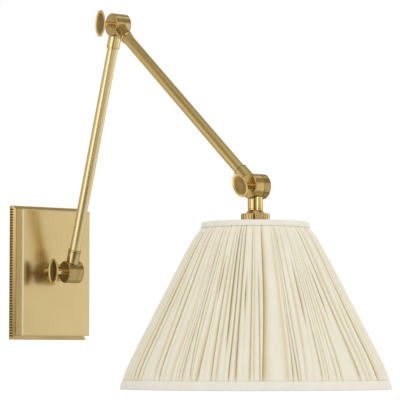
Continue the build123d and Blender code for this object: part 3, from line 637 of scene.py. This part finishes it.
def gatheredCloth():
    count = gathers["folds"]
    meanWidth = 2 * math.pi / count
    valleys = drawValleys(random.Random(gathers["seed"]))
    steps = gathers["steps"]
    topZ = shadeTop - gathers["tapeLap"]
    bottomZ = shadeBottom + gathers["tapeLap"]
    tapeLow, tapeHigh = topLow.z, bottomHigh.z
    span = tapeLow - tapeHigh
    topCrest = topTapeRadius - gathers["flush"]
    bottomCrest = bottomTapeRadius - tape["bottomFlare"] - gathers["flush"]
    tuck = tape["thick"]
    heights = [topZ, (topZ + tapeLow) / 2, tapeLow + tuck]
    freeRows = gathers["rows"] - 6
    for k in range(freeRows):
        s = k / (freeRows - 1)
        heights.append(tapeLow - span * (s - gathers["rowBunch"] * math.sin(2 * math.pi * s)))
    heights += [tapeHigh - tuck, (tapeHigh + bottomZ) / 2, bottomZ]

    def crestAt(t):
        z = tapeLow - span * t
        if t < 0.0:
            lean = tape["topFlare"] * (z - tapeLow) / (shadeTop - tapeLow)
            return topTapeRadius - lean - tuck - gathers["behind"]
        if t > 1.0:
            lean = tape["bottomFlare"] * (z - shadeBottom) / (tapeHigh - shadeBottom)
            return bottomTapeRadius - lean - tuck - gathers["behind"]
        topRise = 1 - math.exp(-t / gathers["topRise"])
        bottomRise = 1 - math.exp(-(1 - t) / gathers["bottomRise"])
        puff = between(gathers["topPuff"], gathers["bottomPuff"], t)
        return between(topCrest, bottomCrest, t) + puff * topRise * bottomRise

    def depthAt(t):
        if t < 0.5:
            depth = between(gathers["topDepth"], gathers["midDepth"], smoothStep(t, 0.0, 0.5))
        else:
            depth = between(gathers["midDepth"], gathers["bottomDepth"], smoothStep(t, 0.5, 1.0))
        free = smoothStep(t, *gathers["topHeld"]) * (1 - smoothStep(t, *gathers["bottomHeld"]))
        return depth * between(gathers["pressed"], 1.0, free)

    def strengthAt(valley, t):
        grow = smoothStep(t, valley["start"], valley["start"] + gathers["fadeSpan"])
        fall = 1 - smoothStep(t, valley["end"] - gathers["fadeSpan"], valley["end"])
        return valley["depth"] * between(gathers["fadeRest"], 1.0, grow * fall)

    def angleAt(valley, t):
        wave = math.sin(2 * math.pi * valley["waves"] * t + valley["phase"])
        return between(valley["high"], valley["low"], t) + valley["bend"] * meanWidth * wave

    def pointAt(row, column):
        z = heights[row]
        t = round((tapeLow - z) / span, 6)
        inside = min(1.0, max(0.0, t))
        which, step = divmod(column, len(steps))
        share = steps[step]
        here, after = valleys[which], valleys[(which + 1) % count]
        turn = 2 * math.pi if which + 1 == count else 0.0
        start = angleAt(here, inside)
        end = max(angleAt(after, inside) + turn, start + gathers["narrowest"] * meanWidth)
        crest = crestAt(t)
        width = (end - start) * crest
        shape = 0.0
        if share:
            shape = math.sin(math.pi * share ** here["peak"]) ** gathers["roundness"]
        top = 0.5 ** (1 / here["peak"])  # where along the fold its crest is
        passed = smoothStep(share, top * 0.5, top + (1 - top) * 0.5)
        strength = between(strengthAt(here, inside), strengthAt(after, inside), passed)
        depth = min(depthAt(inside), width * gathers["steep"]) * strength * (1 - shape)
        lean = between(here["shear"], after["shear"], smoothStep(share, 0.2, 0.8))
        angle = start + (end - start) * share + lean * depth / crest
        return (*onRing(crest - depth, angle, z), min(1.0, depth / gathers["midDepth"]),
                (which + share) / count * gathers["flat"][0], (1 - inside) * gathers["flat"][1])

    piece = ringMesh("gatheredShade", len(heights), count * len(steps), pointAt)
    thicken(piece, gathers["thick"])
    piece.data.materials.append(finishes["cloth"])
    return piece


shadePiece = gatheredCloth()
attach(shadePiece, "shade_head")
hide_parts("shade_cloth")
print("shade gathered,", len(shadePiece.data.vertices), "points")


def tapeBand(name, topZ, bottomZ, topRadius, bottomRadius, foldTop):
    # folded tape: rounded at the rim it wraps, a thin cut edge on the cloth
    draw = random.Random(tape["seed"])
    waves = [(draw.randint(*tape["waveCounts"]), draw.uniform(0, 2 * math.pi),
              draw.uniform(*tape["waveHeights"])) for _ in range(tape["waves"])]
    height = topZ - bottomZ
    thick = tape["thick"]
    # pairs of the share of the height and the step out from the face
    outer = [(k / 8, tape["crown"] * math.sin(math.pi * k / 8)) for k in range(9)]
    rim = []
    for k in range(1, 6):
        a = math.pi * k / 6
        rim.append((1.0 + math.sin(a) * thick / 2 / height, -thick * (1 - math.cos(a)) / 2))
    inner = [(1.0 - k / 6, -thick) for k in range(7)]
    if foldTop:
        over = [(1.0, -tape["turnIn"] * k / 4) for k in range(1, 5)]
        back = [(1.0 - thick / height, -tape["turnIn"] * k / 4) for k in range(4, 0, -1)]
        profile = outer + rim[:2] + over + back + inner[1:]
        levels = [(bottomZ + s * height, off) for s, off in profile]
    else:
        levels = [(topZ - s * height, off) for s, off in outer + rim + inner]
    slack = thick / 2  # room for the rounded rim

    def pointAt(row, column):
        z, off = levels[row]
        z = min(topZ, max(bottomZ, z))
        if foldTop and z < topZ:
            z = bottomZ + (z - bottomZ) * (height - slack) / height
        angle = 2 * math.pi * column / tape["columns"]
        base = between(topRadius, bottomRadius, (topZ - z) / height)
        ripple = sum(w * math.sin(n * angle + p) for n, p, w in waves)
        radius = base + off + tape["pucker"] * ripple
        return (*onRing(radius, angle, z), 0.0, angle * bottomRadius, z)

    piece = ringMesh(name, len(levels), tape["columns"], pointAt, True)
    piece.data.materials.append(finishes["tape"])
    return piece


topTape = tapeBand("topTape", shadeTop, topLow.z,
                   topTapeRadius - tape["topFlare"], topTapeRadius, True)
bottomTape = tapeBand("bottomTape", bottomHigh.z, shadeBottom,
                      bottomTapeRadius - tape["bottomFlare"], bottomTapeRadius, False)
for piece, node in ((topTape, "shade_top_band"), (bottomTape, "shade_bottom_band")):
    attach(piece, "shade_head")
    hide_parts(node)
print("tapes folded over both rims")


lining = {
    "seed": 11,
    "columns": 240,
    "rows": 26,
    "thick": 0.0004,
    "ease": 0.00025,
    "waves": 5,
    "waveCounts": (18, 60),
    "edge": 0.0005,
    # out and down, turned under the wire ring
    "hem": ((0.0006, 0.0014), (0.0013, 0.0020), (0.0028, 0.0022), (0.0073, 0.0022)),
    "flat": (0.87, 0.20),
}


def liningCone():
    low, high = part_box("shade_lining")
    rim = {"top": 0.0, "bottom": 0.0}
    for vertex in nodes["shade_lining"].data.vertices:
        reach = math.hypot(vertex.co.x - axisX, vertex.co.y - axisY)
        if vertex.co.z > high.z - lining["edge"]:
            rim["top"] = max(rim["top"], reach)
        elif vertex.co.z < low.z + lining["edge"]:
            rim["bottom"] = max(rim["bottom"], reach)
    draw = random.Random(lining["seed"])
    waves = [(draw.randint(*lining["waveCounts"]), draw.uniform(0, 2 * math.pi))
             for _ in range(lining["waves"])]

    def pointAt(row, column):
        s = min(1.0, row / (lining["rows"] - 1))
        angle = 2 * math.pi * column / lining["columns"]
        ripple = sum(math.sin(n * angle + p) for n, p in waves) / len(waves)
        radius = between(rim["top"], rim["bottom"], s)
        radius -= lining["ease"] * (1 + ripple) * math.sin(math.pi * s)
        z = between(high.z, low.z, s)
        if row >= lining["rows"]:
            out, down = lining["hem"][row - lining["rows"]]
            radius += out
            z -= down
        return (*onRing(radius, angle, z), 0.0, angle * rim["bottom"], high.z - z)

    piece = ringMesh("shadeLining", lining["rows"] + len(lining["hem"]), lining["columns"], pointAt)
    thicken(piece, lining["thick"])
    piece.data.materials.append(finishes["lining"])
    slant = math.hypot(rim["bottom"] - rim["top"], high.z - low.z)
    cone = math.pi * (rim["top"] + rim["bottom"]) * slant
    reach = rim["bottom"] + lining["hem"][-1][0]
    return piece, cone + math.pi * (reach ** 2 - rim["bottom"] ** 2)


liningPiece, liningCut = liningCone()
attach(liningPiece, "shade_head")
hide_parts("shade_lining")
print("lining set in,", round(liningCut, 4), "square metres")


# studio: white surround, soft lamps, and cards that the metal alone shows

studio = {
    "surround": 0.84,
    "wallPaint": (0.74, 0.70, 0.62),
    "upperPaint": (0.31, 0.27, 0.15),
    "wallFade": (0.30, 0.85),   # the upper wall goes from the one paint to the other over these
    "cardRough": 0.8,
}

cards = {
    "studioWall": {"place": (0.40, 0.02, -0.60), "facing": (0.0, -1.0, 0.0),
                   "size": (1.3, 2.1), "paint": studio["wallPaint"]},
    "studioUpperWall": {"place": (-0.6, 0.02, 1.65), "facing": (0.0, -1.0, 0.0),
                        "size": (3.4, 2.4), "paint": studio["upperPaint"]},
    "studioFlag": {"place": (-2.30, -2.85, 0.0), "facing": (2.30, 2.85, 0.0),
                   "size": (1.30, 4.0), "paint": (0.05, 0.045, 0.04)},
    "studioCeiling": {"place": (1.50, -1.70, 1.85), "facing": (-1.50, 1.70, -1.85),
                      "size": (2.6, 1.7), "paint": (0.42, 0.37, 0.28)},
    # stands for the shaded back of the shade, beside the plane of the arms
    "studioBack": {"place": (-0.074, -0.27, -0.07), "facing": (0.0, 1.0, 0.0),
                   "size": (0.112, 0.14), "paint": (0.16, 0.145, 0.09)},
}

lamps = {
    "keySoftbox": {"place": (-0.9, -2.3, 1.7), "size": (1.4, 1.4), "power": 15.0,
                   "colour": (1.0, 0.985, 0.96)},
    "sideSoftbox": {"place": (2.3, -0.9, 0.3), "size": (1.2, 1.6), "power": 6.0,
                    "colour": (1.0, 0.985, 0.96)},
    # bright lines in the metal alone
    "stripSoftbox": {"place": (-2.03, -0.44, -0.1), "size": (0.88, 1.6), "power": 6.6,
                     "colour": (1.0, 0.99, 0.98), "metalOnly": True},
    "frontSoftbox": {"place": (-0.25, -3.4, 0.2), "size": (0.25, 1.2), "power": 6.0,
                     "colour": (1.0, 0.99, 0.98), "metalOnly": True},
}


def whiteForView(tree, shaded, whiteShader):
    # seen directly or in metal and glass the surround is plain white
    path = addNode(tree, "ShaderNodeLightPath")
    seen = mathFrom(tree, "MAXIMUM", path.outputs["Is Camera Ray"], path.outputs["Is Glossy Ray"])
    seen = mathFrom(tree, "MAXIMUM", seen, path.outputs["Is Transmission Ray"])
    mix = addNode(tree, "ShaderNodeMixShader")
    tree.links.new(seen, mix.inputs["Fac"])
    tree.links.new(shaded, mix.inputs[1])
    tree.links.new(whiteShader, mix.inputs[2])
    return mix.outputs["Shader"]


world = bpy.data.worlds.new("studioSurround")
world.use_nodes = True
bpy.context.scene.world = world
sky = world.node_tree
lit = sky.nodes["Background"]
lit.inputs["Color"].default_value = (*pureWhite, 1.0)
lit.inputs["Strength"].default_value = studio["surround"]
white = addNode(sky, "ShaderNodeBackground", None,
                {"Color": (*pureWhite, 1.0), "Strength": 1.0})
sky.links.new(whiteForView(sky, lit.outputs["Background"], white.outputs["Background"]),
              sky.nodes["World Output"].inputs["Surface"])


def studioPlane(name, place, facing, size, paint):
    wide, tall = size[0] / 2, size[1] / 2
    corners = [(-wide, -tall, 0), (wide, -tall, 0), (wide, tall, 0), (-wide, tall, 0)]
    mesh = bpy.data.meshes.new(name)
    mesh.from_pydata(corners, [], [(0, 1, 2, 3)])
    plane = bpy.data.objects.new(name, mesh)
    plane.location = place
    plane.rotation_euler = Vector(facing).to_track_quat("Z", "Y").to_euler()
    bpy.context.scene.collection.objects.link(plane)
    mat, tree, shader = startMaterial(name + "Paint")
    shader.inputs["Base Color"].default_value = (*paint, 1.0)
    shader.inputs["Roughness"].default_value = studio["cardRough"]
    mesh.materials.append(mat)
    plane.visible_camera = False
    plane.visible_diffuse = False
    plane.visible_shadow = False
    return tree, shader


paints = {name: studioPlane(name, **card) for name, card in cards.items()}
wallTree, wallShader = paints["studioUpperWall"]
geometry = addNode(wallTree, "ShaderNodeNewGeometry")
wallHeight = axisOf(wallTree, geometry.outputs["Position"], "Z")
wallShare = rangeFrom(wallTree, wallHeight, 0.0, 1.0, *studio["wallFade"])
wallTone = twoTones(wallTree, wallShare, (0.0, 1.0), studio["wallPaint"], studio["upperPaint"])
wallTree.links.new(wallTone, wallShader.inputs["Base Color"])
print("cards set,", len(cards))


def softLight(name, target, place, size, power, colour, metalOnly=False):
    data = bpy.data.lights.new(name, "AREA")
    data.shape = "RECTANGLE"
    data.size, data.size_y = size
    data.energy = power
    data.color = colour
    lamp = bpy.data.objects.new(name, data)
    lamp.location = place
    lamp.rotation_euler = (Vector(target) - Vector(place)).to_track_quat("-Z", "Y").to_euler()
    lamp.visible_diffuse = not metalOnly
    bpy.context.scene.collection.objects.link(lamp)


middle = (cadBox[0] + cadBox[1]) / 2
for name, lamp in lamps.items():
    softLight(name, middle, **lamp)
print("lamps set,", len(lamps))


# camera at the photograph's place, image taken as 400 x 400

view = {
    "place": (-1.31447, -2.20781, -0.10513),
    "yaw": 35.002,
    "pitch": 4.383,
    "lens": 186.45,
    "sensor": 36.0,
}
cameraData = bpy.data.cameras.new("photoCamera")
cameraData.lens = view["lens"]
cameraData.sensor_width = view["sensor"]
camera = bpy.data.objects.new("photoCamera", cameraData)
camera.location = view["place"]
camera.rotation_euler = (math.radians(90.0 + view["pitch"]), 0.0, math.radians(-view["yaw"]))
bpy.context.scene.collection.objects.link(camera)
bpy.context.scene.camera = camera
bpy.context.scene.view_settings.view_transform = "Standard"
